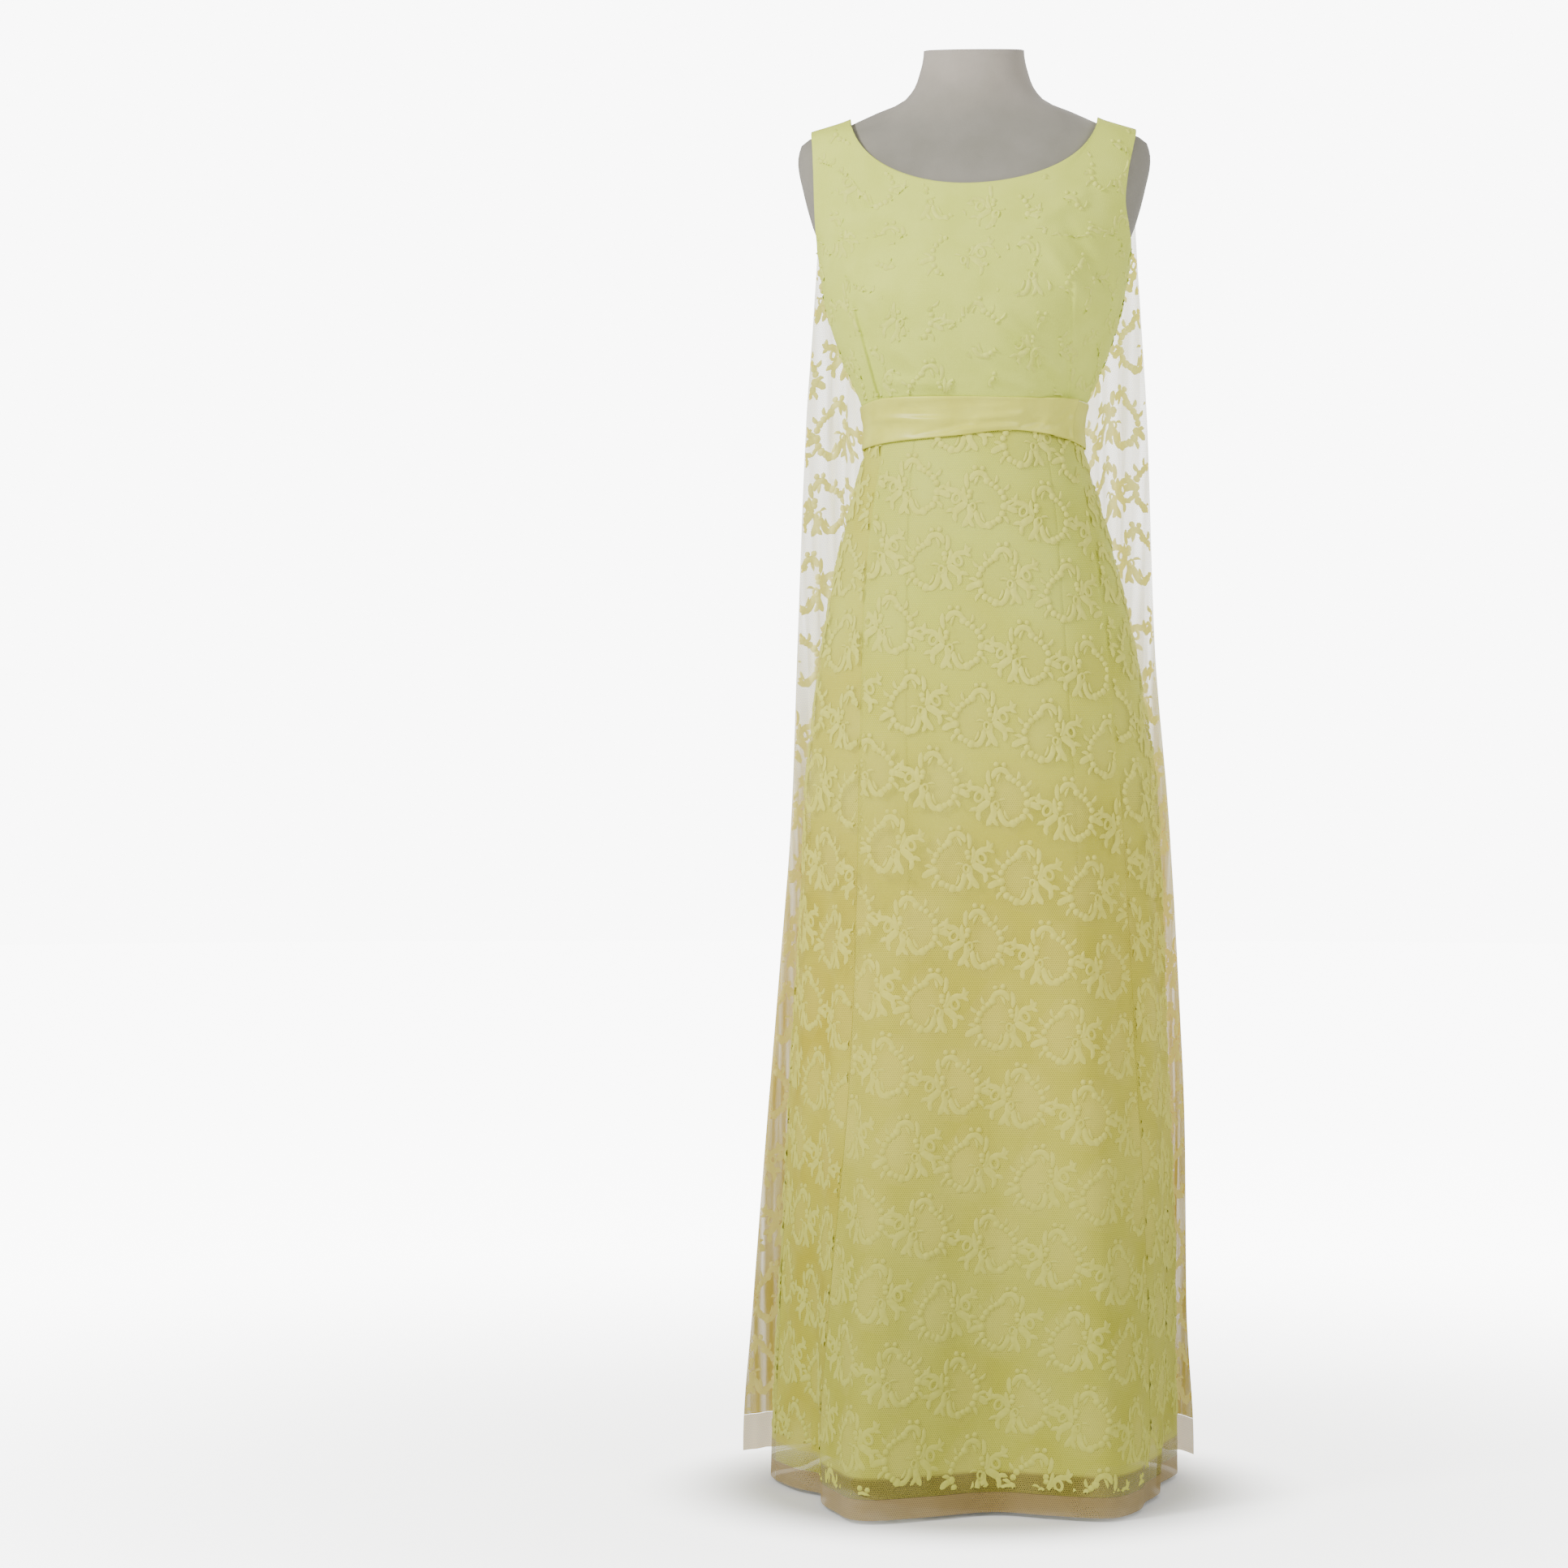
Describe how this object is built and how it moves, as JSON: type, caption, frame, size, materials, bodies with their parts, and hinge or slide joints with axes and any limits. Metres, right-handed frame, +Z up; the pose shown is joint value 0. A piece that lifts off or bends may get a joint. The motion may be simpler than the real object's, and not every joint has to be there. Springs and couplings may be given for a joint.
{
  "type": "evening dress on a dress form",
  "caption": "Sleeveless floor-length lace evening dress with a satin belt, opaque skirt lining and a sheer back train, on a limbless dress form with a round base.",
  "frame": {"origin": "centre of the stand's underside, on the floor", "axes": "+Z up, the front of the dress faces -Y, +X to the right as seen from the front"},
  "size_m": [0.4811, 0.4917, 1.461],
  "materials": {
    "form_cover": "plain woven cotton, matt",
    "stand_paint": "dark satin paint",
    "lace": "floral corded lace, matt",
    "lining": "smooth taffeta, soft sheen",
    "net": "sheer net and lace, matt",
    "satin": "satin, soft sheen"
  },
  "bodies": {
    "root": {"form_torso": "form_cover", "stand_pole": "stand_paint", "stand_base": "stand_paint", "bodice_front": "lace", "bodice_back_left": "lace", "bodice_back_right": "lace", "lining_front": "lining", "lining_side_left": "lining", "lining_side_right": "lining", "lining_back_left": "lining", "lining_back_right": "lining", "lace_front": "lace", "lace_side_left": "lace", "lace_side_right": "lace", "lace_back_left": "lace", "lace_back_right": "lace", "hem_front": "net", "hem_back_left": "net", "hem_back_right": "net", "belt_front": "satin", "belt_back": "satin", "back_placket": "satin", "train_panel": "net", "train_hem": "net"}
  },
  "joints": []
}
